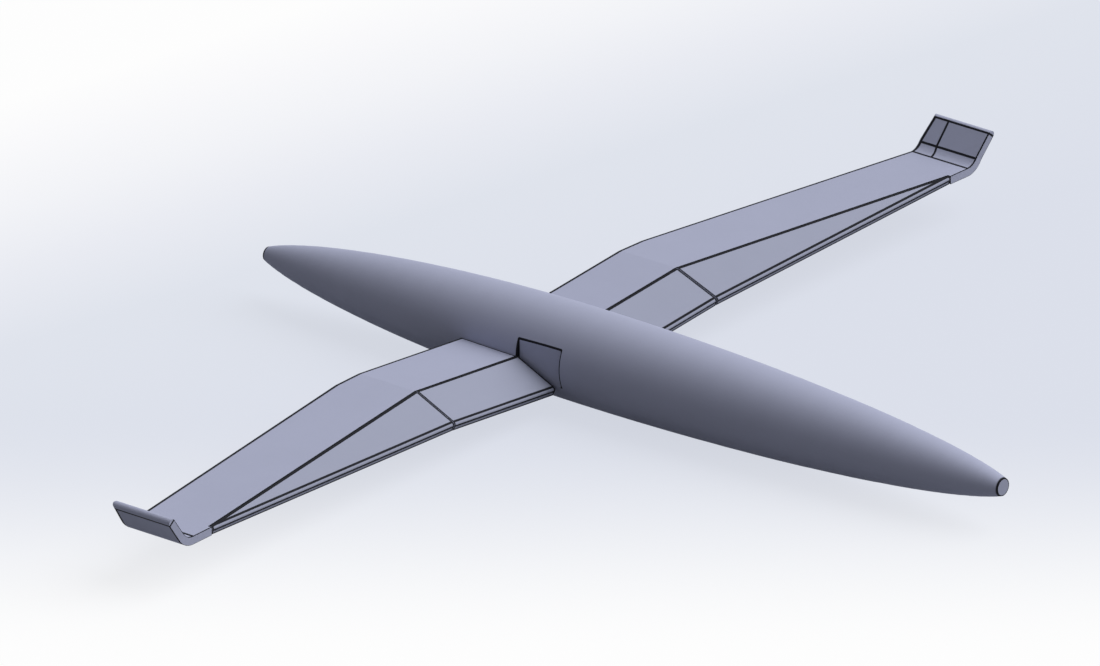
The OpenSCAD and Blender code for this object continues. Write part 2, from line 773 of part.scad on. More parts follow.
module right_aileron_servo() color(black_nylon) on_side(1) aileron_linkage() servo();
module left_flap_servo_cover() color(skin) on_side(-1) flap_linkage() servo_cover();
module right_flap_servo_cover() color(skin) on_side(1) flap_linkage() servo_cover();
module left_aileron_servo_cover() color(skin) on_side(-1) aileron_linkage() servo_cover();
module right_aileron_servo_cover() color(skin) on_side(1) aileron_linkage() servo_cover();
module left_flap_servo_arm() color(black_nylon) on_side(-1) flap_linkage() servo_arm();
module right_flap_servo_arm() color(black_nylon) on_side(1) flap_linkage() servo_arm();
module left_aileron_servo_arm() color(black_nylon) on_side(-1) aileron_linkage() servo_arm();
module right_aileron_servo_arm() color(black_nylon) on_side(1) aileron_linkage() servo_arm();
module left_flap_pushrod() color(steel) on_side(-1) flap_linkage() pushrod();
module right_flap_pushrod() color(steel) on_side(1) flap_linkage() pushrod();
module left_aileron_pushrod() color(steel) on_side(-1) aileron_linkage() pushrod();
module right_aileron_pushrod() color(steel) on_side(1) aileron_linkage() pushrod();
module left_flap_clevis() color(steel) on_side(-1) flap_linkage() clevis();
module right_flap_clevis() color(steel) on_side(1) flap_linkage() clevis();
module left_aileron_clevis() color(steel) on_side(-1) aileron_linkage() clevis();
module right_aileron_clevis() color(steel) on_side(1) aileron_linkage() clevis();

fuselage_shell();
nose_plug();
tail_plug();
nose_ballast();
front_former();
wing_former();
rear_former();
equipment_tray();
battery_pack();
receiver();
belly_hatch();
hatch_screws();
tow_hook_block();
wing_joiner();
left_wing();
right_wing();
left_winglet();
right_winglet();
left_flap();
right_flap();
left_aileron();
right_aileron();
left_flap_pin();
right_flap_pin();
left_aileron_pin();
right_aileron_pin();
left_flap_horn();
right_flap_horn();
left_aileron_horn();
right_aileron_horn();
left_flap_servo();
right_flap_servo();
left_aileron_servo();
right_aileron_servo();
left_flap_servo_cover();
right_flap_servo_cover();
left_aileron_servo_cover();
right_aileron_servo_cover();
left_flap_servo_arm();
right_flap_servo_arm();
left_aileron_servo_arm();
right_aileron_servo_arm();
left_flap_pushrod();
right_flap_pushrod();
left_aileron_pushrod();
right_aileron_pushrod();
left_flap_clevis();
right_flap_clevis();
left_aileron_clevis();
right_aileron_clevis();
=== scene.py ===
from functools import reduce
from math import cos, pi, radians, sin

import bmesh
import bpy
from mathutils import Matrix, Vector


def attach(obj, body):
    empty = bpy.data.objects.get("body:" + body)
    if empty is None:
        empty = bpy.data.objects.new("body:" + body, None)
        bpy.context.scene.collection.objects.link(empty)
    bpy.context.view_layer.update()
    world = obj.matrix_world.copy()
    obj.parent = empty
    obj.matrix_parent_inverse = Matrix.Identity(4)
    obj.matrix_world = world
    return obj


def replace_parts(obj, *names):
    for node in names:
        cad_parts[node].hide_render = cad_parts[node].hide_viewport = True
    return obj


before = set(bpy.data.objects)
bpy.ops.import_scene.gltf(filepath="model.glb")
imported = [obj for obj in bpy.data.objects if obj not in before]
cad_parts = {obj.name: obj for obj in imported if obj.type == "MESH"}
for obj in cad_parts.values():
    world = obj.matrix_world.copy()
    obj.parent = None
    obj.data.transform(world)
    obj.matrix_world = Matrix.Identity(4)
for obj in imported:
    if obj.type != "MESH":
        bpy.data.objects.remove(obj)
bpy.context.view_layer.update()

# Camera: the picture is a parallel view, so a very long lens stands far off.
# It looks at the sailplane from behind the port wing and a little above it.
view_turn, view_rise, view_distance = radians(-50.6949), radians(22.8012), 34.2073
view_lens, view_end = 980, 100
view_aim = Vector((-0.046775, 0.082718, 0.094217))
bpy.context.scene.view_settings.view_transform = "Standard"
lens = bpy.data.cameras.new("camera")
lens.lens = view_lens
lens.clip_end = view_end
camera = bpy.data.objects.new("camera", lens)
camera.location = view_aim + view_distance * Vector(
    (sin(view_turn) * cos(view_rise), -cos(view_turn) * cos(view_rise), sin(view_rise)))
camera.rotation_euler = (pi / 2 - view_rise, 0, view_turn)
bpy.context.scene.collection.objects.link(camera)
bpy.context.scene.camera = camera


# Fuselage shell: one slender spindle of glass cloth and resin, laid up in moulds and sprayed blue-grey.
# A flat is cut in each side for the flap's inner end, and the wing roots slide into slots ahead of it.
# The nose and tail plugs are turned discs of the same finish, made darker by painted shade, glued into the
# thick ends of the shell.
body_radius, body_axis_z, widest_y = 0.056, 0.056, 0.052
nose_reach, nose_power = 0.503409, 0.64
flat_x, flat_rear_y, flat_front_y = 0.050713, 0.0625, 0.12557
end_y, nose_disc_radius, tail_disc_radius = 0.542, 0.0085, 0.0105
# Half widths of the drawn lines, and how far they may stray from the edges that they follow.
flat_edge_half, flat_end_half, disc_edge_half, disc_rim = 0.0006, 0.0013, 0.0021, 0.0011
skin_depth, flat_overrun, flat_depth = 0.0007, 0.0005, 0.0002


def srgb(red, green, blue):
    """A colour as the screen shows it, from 0 to 255, in the linear values that a socket takes."""
    parts = [c / 255 for c in (red, green, blue)]
    return (*(c / 12.92 if c <= 0.04045 else ((c + 0.055) / 1.055) ** 2.4 for c in parts), 1)


# disc_shaded_paint is the skin's paint made darker: painted shade on the end discs.
skin_paint, disc_shaded_paint = srgb(165, 169, 192), srgb(152, 156, 177)
# seam_and_shade_dark draws the seam lines, and also the painted shade in the wing's hinge hollow and on the
# blades' noses.
seam_and_shade_dark, scuff_pale, scuff_share = srgb(14, 15, 21), srgb(196, 198, 205), 0.35


def add(tree, kind, inputs=None, **settings):
    """A node of that kind, with its settings, and its inputs set or linked."""
    made = tree.nodes.new(kind)
    for name, value in settings.items():
        setattr(made, name, value)
    for name, value in (inputs or {}).items():
        if isinstance(value, bpy.types.NodeSocket):
            tree.links.new(value, made.inputs[name])
        else:
            made.inputs[name].default_value = value
    return made


def calc(tree, operation, *values):
    """The output of a Math node."""
    return add(tree, "ShaderNodeMath", dict(enumerate(values)), operation=operation).outputs[0]


def combined(tree, operation, *values):
    """Several values taken together: MULTIPLY for what lies in all of some masks, MAXIMUM for any of them."""
    return reduce(lambda first, second: calc(tree, operation, first, second), values)


def above(tree, value, limit):
    """One where a value is above a limit, zero elsewhere."""
    return calc(tree, "GREATER_THAN", value, limit)


def below(tree, value, limit):
    """One where a value is below a limit, zero elsewhere."""
    return calc(tree, "LESS_THAN", value, limit)


def beyond(tree, value, start):
    """How far a value lies beyond a start."""
    return calc(tree, "SUBTRACT", value, start)


def swung(tree, value, swing, base):
    """A base with a share of a value on top."""
    return calc(tree, "MULTIPLY_ADD", value, swing, base)


def spread(tree, value, start, end, low=0.0, high=1.0, **settings):
    """A value that runs from low to high while another runs from start to end, and is level outside them."""
    return add(tree, "ShaderNodeMapRange", {
        "Value": value, "From Min": start, "From Max": end, "To Min": low, "To Max": high},
        **settings).outputs[0]


def noise(tree, vector, cells, detail, distortion=0.0):
    """Cloudy noise with so many cells to the metre."""
    return add(tree, "ShaderNodeTexNoise", {
        "Vector": vector, "Scale": cells, "Detail": detail, "Distortion": distortion}).outputs["Fac"]


def shaded(tree, colour, shade):
    """A colour made lighter or darker by a factor."""
    return add(tree, "ShaderNodeVectorMath", {0: colour, "Scale": shade}, operation="SCALE").outputs[0]


def mixed(tree, share, first, second):
    """A colour between two others."""
    return add(tree, "ShaderNodeMixRGB", {"Fac": share, "Color1": first, "Color2": second}).outputs[0]


def lay_tree(name, kind, inputs, outputs):
    """A node group with named sockets: the tree, its inputs' outputs and its outputs' inputs."""
    tree = bpy.data.node_groups.new(name, kind)
    for label, socket, value in inputs:
        made = tree.interface.new_socket(label, in_out="INPUT", socket_type=socket)
        if value is not None:
            made.default_value = value
    for label, socket in outputs:
        tree.interface.new_socket(label, in_out="OUTPUT", socket_type=socket)
    return tree, tree.nodes.new("NodeGroupInput").outputs, tree.nodes.new("NodeGroupOutput").inputs


def give(tree, gives, **results):
    """Links a node group's results to its outputs."""
    for socket, result in results.items():
        tree.links.new(result, gives[socket])


# Sprayed coat: faint clouds in the colour, a little uneven gloss and the fine ripple of orange peel.
sprayed_coat, has, gives = lay_tree("Sprayed Coat", "ShaderNodeTree", [
    ("Vector", "NodeSocketVector", None), ("Paint", "NodeSocketColor", (0.5, 0.5, 0.5, 1)),
    ("Cloud", "NodeSocketFloat", 0.03), ("Gloss Roughness", "NodeSocketFloat", 0.7)], [
    ("Color", "NodeSocketColor"), ("Roughness", "NodeSocketFloat"), ("Height", "NodeSocketFloat")])
noise_middle, noise_ways, mottle_share, gloss_swing, peel_cells = 0.5, 2.0, 0.35, 0.16, 750.0
cloud, mottle, gloss = (beyond(sprayed_coat, noise(sprayed_coat, has["Vector"], cells, detail), noise_middle)
                        for cells, detail in ((16.0, 4.0), (420.0, 2.0), (55.0, 3.0)))
level = calc(sprayed_coat, "ADD", cloud, calc(sprayed_coat, "MULTIPLY", mottle, mottle_share))
shade = swung(sprayed_coat, level, swing=calc(sprayed_coat, "MULTIPLY", has["Cloud"], noise_ways), base=1.0)
give(sprayed_coat, gives, Color=shaded(sprayed_coat, has["Paint"], shade),
     Roughness=swung(sprayed_coat, gloss, gloss_swing, has["Gloss Roughness"]),
     Height=noise(sprayed_coat, has["Vector"], peel_cells, detail=1.0))

# Seam line: a fine dark line where two mouldings meet, at a given distance from the joint.
seam_line, has, gives = lay_tree("Seam Line", "ShaderNodeTree", [
    ("Distance", "NodeSocketFloat", 1.0), ("Half Width", "NodeSocketFloat", 0.0006)],
    [("Mask", "NodeSocketFloat")])
full_share, faded_share = 0.75, 1.25
full_width, faded_width = (
    calc(seam_line, "MULTIPLY", has["Half Width"], share) for share in (full_share, faded_share))
give(seam_line, gives, Mask=spread(
    seam_line, calc(seam_line, "ABSOLUTE", has["Distance"]), full_width, faded_width, low=1.0, high=0.0,
    interpolation_type="SMOOTHSTEP"))

# Landing scuff: fine lengthwise scratches, low on the belly, from landings on grass.
landing_scuff, has, gives = lay_tree("Landing Scuff", "ShaderNodeTree", [
    ("Vector", "NodeSocketVector", None), ("Reach", "NodeSocketFloat", 0.012)], [("Mask", "NodeSocketFloat")])
scratch_cells, patch_cells, scratch_start, scratch_full = (900.0, 14.0, 900.0), 22.0, 0.27, 0.36
along_belly = add(landing_scuff, "ShaderNodeMapping", {"Vector": has["Vector"], "Scale": scratch_cells})
scratch = noise(landing_scuff, along_belly.outputs[0], cells=1.0, detail=3.0)
patch = noise(landing_scuff, has["Vector"], patch_cells, detail=2.0)
height = add(landing_scuff, "ShaderNodeSeparateXYZ", {0: has["Vector"]}).outputs["Z"]
low = spread(landing_scuff, height, 0.0, has["Reach"], low=1.0, high=0.0)
mark = spread(landing_scuff, calc(landing_scuff, "MULTIPLY", scratch, patch), scratch_start, scratch_full)
give(landing_scuff, gives, Mask=calc(landing_scuff, "MULTIPLY", low, mark))


def new_finish(name, constants):
    """A material with constants on its shader's own sockets: itself, its tree and its Object coordinates."""
    finish = bpy.data.materials.new(name)
    finish.use_nodes = True
    tree = finish.node_tree
    for socket, value in constants.items():
        tree.nodes["Principled BSDF"].inputs[socket].default_value = value
    return finish, tree, add(tree, "ShaderNodeTexCoord").outputs["Object"]


def surfaced(tree, colour, rough, height, strength, depth):
    """Links a colour, a roughness and a bump of that strength and depth to a material's shader."""
    bump = add(tree, "ShaderNodeBump", {"Strength": strength, "Distance": depth, "Height": height}).outputs[0]
    for source, socket in ((colour, "Base Color"), (rough, "Roughness"), (bump, "Normal")):
        tree.links.new(source, tree.nodes["Principled BSDF"].inputs[socket])


def painted(name, paint, lines=None, scuffs=False):
    """Sprayed skin. lines(tree, place), where given, makes a mask of the seams and painted shade to draw."""
    finish, tree, place = new_finish(name, {"Specular IOR Level": 0.2})
    coat = add(tree, "ShaderNodeGroup", {"Vector": place, "Paint": paint}, node_tree=sprayed_coat).outputs
    colour, rough = coat["Color"], coat["Roughness"]
    if scuffs:
        worn = add(tree, "ShaderNodeGroup", {"Vector": place}, node_tree=landing_scuff).outputs["Mask"]
        scuffed = calc(tree, "MULTIPLY", worn, scuff_share)
        colour = mixed(tree, scuffed, colour, scuff_pale)
        rough = swung(tree, scuffed, swing=0.3, base=rough)
    # The lines' mask darkens seams. On the wing and blades it also paints shade in the hinge hollow.
    if lines:
        drawn = lines(tree, place)
        colour = mixed(tree, drawn, colour, seam_and_shade_dark)
        rough = swung(tree, drawn, swing=0.15, base=rough)
    surfaced(tree, colour, rough, coat["Height"], strength=0.05, depth=0.0002)
    return finish


def seam(tree, distance, half_width):
    """Mask of a seam line at that distance."""
    return add(tree, "ShaderNodeGroup", {
        "Distance": distance, "Half Width": half_width}, node_tree=seam_line).outputs["Mask"]


def dress(finish, *nodes):
    """Gives CAD nodes a finish."""
    for name in nodes:
        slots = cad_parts[name].data.materials
        slots.clear()
        slots.append(finish)


def body_places(tree, place):
    """Where a point lies on the body, alike on both sides. The depth in the skin holds for the nose half."""
    axes = add(tree, "ShaderNodeSeparateXYZ", {0: place}).outputs
    out = calc(tree, "ABSOLUTE", axes["X"])
    rise = beyond(tree, axes["Z"], body_axis_z)
    squares = (calc(tree, "MULTIPLY", way, way) for way in (out, rise))
    radius = calc(tree, "SQRT", calc(tree, "ADD", *squares))
    share = calc(tree, "DIVIDE", beyond(tree, axes["Y"], widest_y), nose_reach)
    narrowing = calc(tree, "SUBTRACT", 1.0, calc(tree, "MULTIPLY", share, share))
    outline = calc(tree, "POWER", narrowing, nose_power)
    depth = calc(tree, "SUBTRACT", calc(tree, "MULTIPLY", outline, body_radius), radius)
    return {"out": out, "station": axes["Y"], "rise": rise, "radius": radius, "depth": depth}


def body_lines(tree, place):
    """The flat's upper edge and its two ends, on each side."""
    at = body_places(tree, place)
    past_flat = beyond(tree, at["out"], flat_x)
    upper = combined(
        tree, "MULTIPLY", below(tree, at["depth"], skin_depth), above(tree, at["rise"], 0.0),
        above(tree, at["station"], flat_rear_y - flat_overrun),
        below(tree, at["station"], flat_front_y + flat_overrun), seam(tree, past_flat, flat_edge_half))
    ends = combined(tree, "MAXIMUM", *(
        seam(tree, beyond(tree, at["station"], end), flat_end_half) for end in (flat_rear_y, flat_front_y)))
    ends = calc(tree, "MULTIPLY", ends, above(tree, past_flat, -flat_depth))
    return calc(tree, "MAXIMUM", upper, ends)


def plug_lines(disc_radius):
    """The dark edge of one end disc."""
    def lines(tree, place):
        at = body_places(tree, place)
        from_end = beyond(tree, calc(tree, "ABSOLUTE", at["station"]), end_y)
        rim = above(tree, at["radius"], disc_radius - disc_rim)
        return calc(tree, "MULTIPLY", seam(tree, from_end, disc_edge_half), rim)
    return lines


dress(painted("body_skin", skin_paint, body_lines, scuffs=True), "fuselage_shell")
# The end discs take the darker paint as painted shade.
dress(painted("nose_disc_shaded_skin", disc_shaded_paint, plug_lines(nose_disc_radius)), "nose_plug")
dress(painted("tail_disc_shaded_skin", disc_shaded_paint, plug_lines(tail_disc_radius)), "tail_plug")


# Formers, tray and tow block: birch plywood and birch block, cut to fit inside the shell and glued.
# They carry the wing joiner and the radio gear, and the tow hook's thread is cut in the block.

# Stretched grain: fibres or drawing marks, long one way and fine across it.
stretched_grain, has, gives = lay_tree("Stretched Grain", "ShaderNodeTree", [
    ("Vector", "NodeSocketVector", None), ("Cells", "NodeSocketVector", (1, 1, 1)),
    ("Detail", "NodeSocketFloat", 3.0), ("Distortion", "NodeSocketFloat", 0.0)],
    [("Grain", "NodeSocketFloat")])
drawn_out = add(stretched_grain, "ShaderNodeVectorMath", {
    0: has["Vector"], 1: has["Cells"]}, operation="MULTIPLY")
give(stretched_grain, gives, Grain=noise(
    stretched_grain, drawn_out.outputs[0], cells=1.0, detail=has["Detail"], distortion=has["Distortion"]))


def grained(tree, place, along, cells_along, cells_across, detail, distortion=0.0):
    """Grain stretched along one axis, with so many cells to the metre along it and across it."""
    cells = [cells_along if axis == along else cells_across for axis in range(3)]
    return add(tree, "ShaderNodeGroup", {
        "Vector": place, "Cells": cells, "Detail": detail, "Distortion": distortion},
        node_tree=stretched_grain).outputs["Grain"]


def wooden(name, light, dark, along):
    """Birch, its grain stretched along one axis."""
    finish, tree, place = new_finish(name, {})
    grain = grained(tree, place, along, cells_along=9.0, cells_across=260.0, detail=5.0, distortion=0.6)
    surfaced(tree, mixed(tree, spread(tree, grain, start=0.32, end=0.66), dark, light),
             swung(tree, grain, swing=0.2, base=0.5), grain, strength=0.25, depth=0.0003)
    return finish


dress(wooden("birch_ply", light=srgb(214, 186, 144), dark=srgb(176, 142, 98), along=0),
      "front_former", "wing_former", "rear_former")
dress(wooden("birch_board", light=srgb(218, 190, 148), dark=srgb(182, 148, 104), along=1),
      "equipment_tray", "tow_hook_block")


# Radio gear and ballast: a shrink-wrapped battery, a moulded receiver case and a lead slug cast to the nose.
# The battery and the receiver hang under the tray, and the slug is glued in the nose.

# Moulded grain: a fine even texture with broad faint clouds, for moulded plastic, film or cast metal.
moulded_grain, has, gives = lay_tree("Moulded Grain", "ShaderNodeTree", [
    ("Vector", "NodeSocketVector", None), ("Colour", "NodeSocketColor", (0.5, 0.5, 0.5, 1)),
    ("Cells", "NodeSocketFloat", 300.0), ("Smooth", "NodeSocketFloat", 0.4),
    ("Rough", "NodeSocketFloat", 0.6)], [
    ("Color", "NodeSocketColor"), ("Roughness", "NodeSocketFloat"), ("Height", "NodeSocketFloat")])
cloud_size = 12.0
cloud_cells = calc(moulded_grain, "DIVIDE", has["Cells"], cloud_size)
grain = noise(moulded_grain, has["Vector"], has["Cells"], detail=3.0)
broad = noise(moulded_grain, has["Vector"], cloud_cells, detail=2.0)
give(moulded_grain, gives, Height=grain,
     Color=shaded(moulded_grain, has["Colour"], swung(moulded_grain, broad, swing=0.3, base=0.85)),
     Roughness=spread(moulded_grain, grain, start=0.3, end=0.7, low=has["Smooth"], high=has["Rough"]))


def moulded(name, colour, cells, dent, smooth, rough, metal=0.0):
    """A material with a fine even grain, its dents and its roughness between two limits."""
    finish, tree, place = new_finish(name, {"Metallic": metal})
    texture = add(tree, "ShaderNodeGroup", {
        "Vector": place, "Colour": colour, "Cells": cells, "Smooth": smooth, "Rough": rough},
        node_tree=moulded_grain).outputs
    surfaced(tree, texture["Color"], texture["Roughness"], texture["Height"], strength=dent, depth=0.0003)
    return finish


dress(moulded("shrink_film", srgb(38, 78, 168), cells=160.0, dent=0.5, smooth=0.18, rough=0.34),
      "battery_pack")
dress(moulded("receiver_case", srgb(34, 35, 38), cells=1400.0, dent=0.2, smooth=0.5, rough=0.65), "receiver")
dress(moulded("cast_lead", srgb(128, 130, 136), cells=300.0, dent=0.5, smooth=0.45, rough=0.7, metal=0.9),
      "nose_ballast")


# Belly hatch and its two screws: a piece of the body's own skin that closes the radio bay from below.
# It rests on a lip inside the shell, and a pan-head steel screw holds each end.
def brushed(name, colour, along):
    """Bright steel with fine drawing marks along one axis."""
    finish, tree, place = new_finish(name, {"Metallic": 1.0})
    marks = grained(tree, place, along, cells_along=60.0, cells_across=4000.0, detail=3.0)
    surfaced(tree, shaded(tree, colour[:3], swung(tree, marks, swing=0.24, base=0.88)),
             swung(tree, marks, swing=0.25, base=0.2), marks, strength=0.15, depth=0.0001)
    return finish


bright_steel = brushed("bright_steel", srgb(196, 198, 202), along=0)
dress(painted("hatch_skin", skin_paint, scuffs=True), "belly_hatch")

# Screw heads: a crowned head that faces down, with a cross recess turned as it was left, on a plain shank.
screw_heads, has, gives = lay_tree("Screw Heads", "GeometryNodeTree", [
    ("Seats", "NodeSocketGeometry", None), ("Head Radius", "NodeSocketFloat", 0.001),
    ("Head Height", "NodeSocketFloat", 0.0005), ("Crown", "NodeSocketFloat", 0.0002),
    ("Shank Radius", "NodeSocketFloat", 0.0005), ("Shank Length", "NodeSocketFloat", 0.003)],
    [("Screws", "NodeSocketGeometry")])
head_sides, shank_sides, weld, recess_seed = 28, 14, 3e-6, 4
# Shares of the head's radius, of its height and of the shank's length.
recess_reach, recess_width, recess_lift, drum_lift, shank_lift = 1.15, 0.26, -0.95, -0.5, 0.45


def lifted(tree, mesh, height, turn=0.0):
    """A mesh moved up by a height, and turned about the upright."""
    shift = add(tree, "ShaderNodeCombineXYZ", {"Z": height}).outputs[0]
    return add(tree, "GeometryNodeTransform", {
        "Geometry": mesh, "Translation": shift, "Rotation": (0.0, 0.0, turn)}).outputs[0]


def cut(tree, operation, first, *others):
    """Meshes joined into one, or the others cut out of the first."""
    made = add(tree, "GeometryNodeMeshBoolean", operation=operation, solver="EXACT")
    tree.links.new(first, made.inputs[0 if operation == "DIFFERENCE" else 1])
    for other in others:
        tree.links.new(other, made.inputs[1])
    return made.outputs["Mesh"]


def share_of(size, share):
    """A share of one of the screw's sizes."""
    return calc(screw_heads, "MULTIPLY", size, share)


drum = add(screw_heads, "GeometryNodeMeshCylinder", {
    "Vertices": head_sides, "Radius": has["Head Radius"], "Depth": has["Head Height"]}).outputs["Mesh"]
drum = lifted(screw_heads, drum, share_of(has["Head Height"], drum_lift))
crown_square = calc(screw_heads, "MULTIPLY_ADD", has["Crown"], has["Crown"],
                    calc(screw_heads, "MULTIPLY", has["Head Radius"], has["Head Radius"]))
ball_radius = calc(screw_heads, "DIVIDE", crown_square, share_of(has["Crown"], 2.0))
ball = add(screw_heads, "GeometryNodeMeshUVSphere", {
    "Segments": head_sides, "Rings": 2 * head_sides, "Radius": ball_radius}).outputs["Mesh"]
ball_lift = calc(screw_heads, "SUBTRACT", ball_radius, has["Head Height"])
# Half a segment's turn keeps the ball's edges off the drum's.
ball = lifted(screw_heads, ball, ball_lift, turn=pi / head_sides)
shank = add(screw_heads, "GeometryNodeMeshCylinder", {
    "Vertices": shank_sides, "Radius": has["Shank Radius"], "Depth": has["Shank Length"]}).outputs["Mesh"]
shank = lifted(screw_heads, shank, share_of(has["Shank Length"], shank_lift))
screw = cut(screw_heads, "UNION", cut(screw_heads, "INTERSECT", drum, ball), shank)
arms = []
for long_way, short_way in (("X", "Y"), ("Y", "X")):
    size = add(screw_heads, "ShaderNodeCombineXYZ", {
        long_way: share_of(has["Head Radius"], recess_reach),
        short_way: share_of(has["Head Radius"], recess_width), "Z": has["Head Height"]}).outputs[0]
    arm = add(screw_heads, "GeometryNodeMeshCube", {"Size": size}).outputs["Mesh"]
    arms.append(lifted(screw_heads, arm, share_of(has["Head Height"], recess_lift)))
screw = cut(screw_heads, "DIFFERENCE", screw, *arms)
screw = add(screw_heads, "GeometryNodeMergeByDistance", {"Geometry": screw, "Distance": weld}).outputs[0]
turned = add(screw_heads, "FunctionNodeRandomValue", {
    "Max": (0.0, 0.0, pi / 2), "Seed": recess_seed}, data_type="FLOAT_VECTOR")
seated = add(screw_heads, "GeometryNodeInstanceOnPoints", {
    "Points": has["Seats"], "Instance": screw, "Rotation": turned.outputs[0]})
solid = add(screw_heads, "GeometryNodeRealizeInstances", {0: seated.outputs[0]})
coated = add(screw_heads, "GeometryNodeSetMaterial", {"Geometry": solid.outputs[0], "Material": bright_steel})
give(screw_heads, gives, Screws=coated.outputs[0])


def grown(tree, points, edges, sizes):
    """The plain mesh that a Geometry Nodes tree makes from some points, with its sizes set by name."""
    start = bpy.data.meshes.new("start")
    start.from_pydata(points, edges, [])
    carrier = bpy.data.objects.new("carrier", start)
    bpy.context.scene.collection.objects.link(carrier)
    modifier = carrier.modifiers.new("grow", "NODES")
    modifier.node_group = tree
    for socket in tree.interface.items_tree:
        if socket.in_out == "INPUT" and socket.name in sizes:
            modifier[socket.identifier] = sizes[socket.name]
    shape = carrier.evaluated_get(bpy.context.evaluated_depsgraph_get())
    made = bpy.data.meshes.new_from_object(shape)
    bpy.data.objects.remove(carrier)
    bpy.data.meshes.remove(start)
    return made


def fixed(name, made, body, place=Matrix()):
    """A finished mesh as a piece at its place, riding on a body, smooth apart from its creases."""
    crease = radians(35)
    made.transform(place)
    if place.determinant() < 0:
        made.flip_normals()
    made.shade_smooth()
    made.set_sharp_from_angle(angle=crease)
    piece = bpy.data.objects.new(name, made)
    bpy.context.scene.collection.objects.link(piece)
    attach(piece, body)
    return piece


hatch_head_height = 0.0012
corners = [vertex.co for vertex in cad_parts["hatch_screws"].data.vertices]
between = sum(corner.y for corner in corners) / len(corners)
seats = []
for half in ([c for c in corners if c.y < between], [c for c in corners if c.y > between]):
    middle = (min(c.y for c in half) + max(c.y for c in half)) / 2
    seats.append((0, middle, min(c.z for c in half) + hatch_head_height))
hatch_screws = fixed("hatch_screw_pair", grown(screw_heads, seats, [], {
    "Head Radius": 0.003, "Head Height": hatch_head_height, "Crown": 0.0006,
    "Shank Radius": 0.00123, "Shank Length": 0.0075}), "airframe")
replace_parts(hatch_screws, "hatch_screws")


# Wing joiner: a pultruded carbon rod, bent at the middle to the wing's dihedral.
# It runs through the wing former and slides into a bore in each wing.
def pultruded(name, colour):
    """Carbon rod, with its fibres along X under clear resin."""
    finish, tree, place = new_finish(name, {"Coat Weight": 0.6, "Coat Roughness": 0.12})
    tows = grained(tree, place, 0, cells_along=25.0, cells_across=3000.0, detail=4.0)
    surfaced(tree, shaded(tree, colour[:3], swung(tree, tows, swing=1.2, base=0.4)),
             swung(tree, tows, swing=0.3, base=0.25), tows, strength=0.2, depth=0.0001)
    return finish


dress(pultruded("carbon_rod", srgb(44, 44, 47)), "wing_joiner")


# Wings: a thin flat panel on each side, foam under a glass skin, folded once and swept beyond the fold.
# The root tongue sits in the body's slot. The hollow behind the panel, where the blades turn, is painted dark
# inside as painted shade, which also draws the hinge line on the top.
wing_root_z, dihedral, anhedral, hinge_sweep = 0.0468, radians(4.9), radians(1.2), radians(7.3)
fold_u, fold_x, fold_z, hinge_y = 0.2365, 0.235636, 0.067001, 0.1245
edge_y, edge_sweep, sweep_start = 0.213, radians(7.8), 0.0405
trailing_y, trailing_sweep, tip_joint_x = 0.0635, radians(0.4934), 0.70003
aileron_length, end_gap = 0.43523, 0.001
# The reach of the hollow's painted shade round the hinge line and past its end, the heights of the skin, and
# the lines' half widths.
cove_reach, cove_overrun, face_z, front_face_z, root_rear_y = 0.0059, 0.0002, 0.0045, 0.0038, 0.12
tip_joint_half, tip_rear_half, root_half = 0.0019, 0.0012, 0.0013
edge_line_back, edge_line_half = 0.0043, 0.0023

level_turn = Matrix.Rotation(anhedral, 3, "Y")
inner_turn = Matrix.Rotation(-dihedral, 3, "Y")
outer_turn = level_turn @ Matrix.Rotation(-hinge_sweep, 3, "Z")
inner_along, outer_along = inner_turn.col[0], outer_turn.col[0]
inner_hinge, outer_hinge = Vector((0, hinge_y, wing_root_z)), Vector((fold_x, hinge_y, fold_z))
tip_rear = outer_hinge + Vector((0, trailing_y - hinge_y, 0))
tip_rear_way = level_turn @ Vector((-sin(trailing_sweep), cos(trailing_sweep), 0))
swept_edge = outer_hinge + level_turn @ Vector((sweep_start, edge_y - hinge_y, 0))
swept_edge_way = level_turn @ Vector((sin(edge_sweep), cos(edge_sweep), 0))


def mirrored(tree, place):
    """Position with X counted outwards on both sides."""
    axes = add(tree, "ShaderNodeSeparateXYZ", {0: place}).outputs
    return add(tree, "ShaderNodeCombineXYZ", {
        "X": calc(tree, "ABSOLUTE", axes["X"]), "Y": axes["Y"], "Z": axes["Z"]}).outputs[0]


def vector_calc(tree, operation, *vectors):
    """A Vector Math node's outputs."""
    return add(tree, "ShaderNodeVectorMath", dict(enumerate(vectors)), operation=operation).outputs


def measured(tree, point, start, way):
    """Distance from a starting point along a way."""
    offset = vector_calc(tree, "SUBTRACT", point, start)["Vector"]
    return vector_calc(tree, "DOT_PRODUCT", offset, way)["Value"]


def line_distance(tree, point, start, way):
    """Distance from a straight line."""
    offset = vector_calc(tree, "SUBTRACT", point, start)["Vector"]
    return vector_calc(tree, "LENGTH", vector_calc(tree, "CROSS_PRODUCT", offset, way)["Vector"])["Value"]


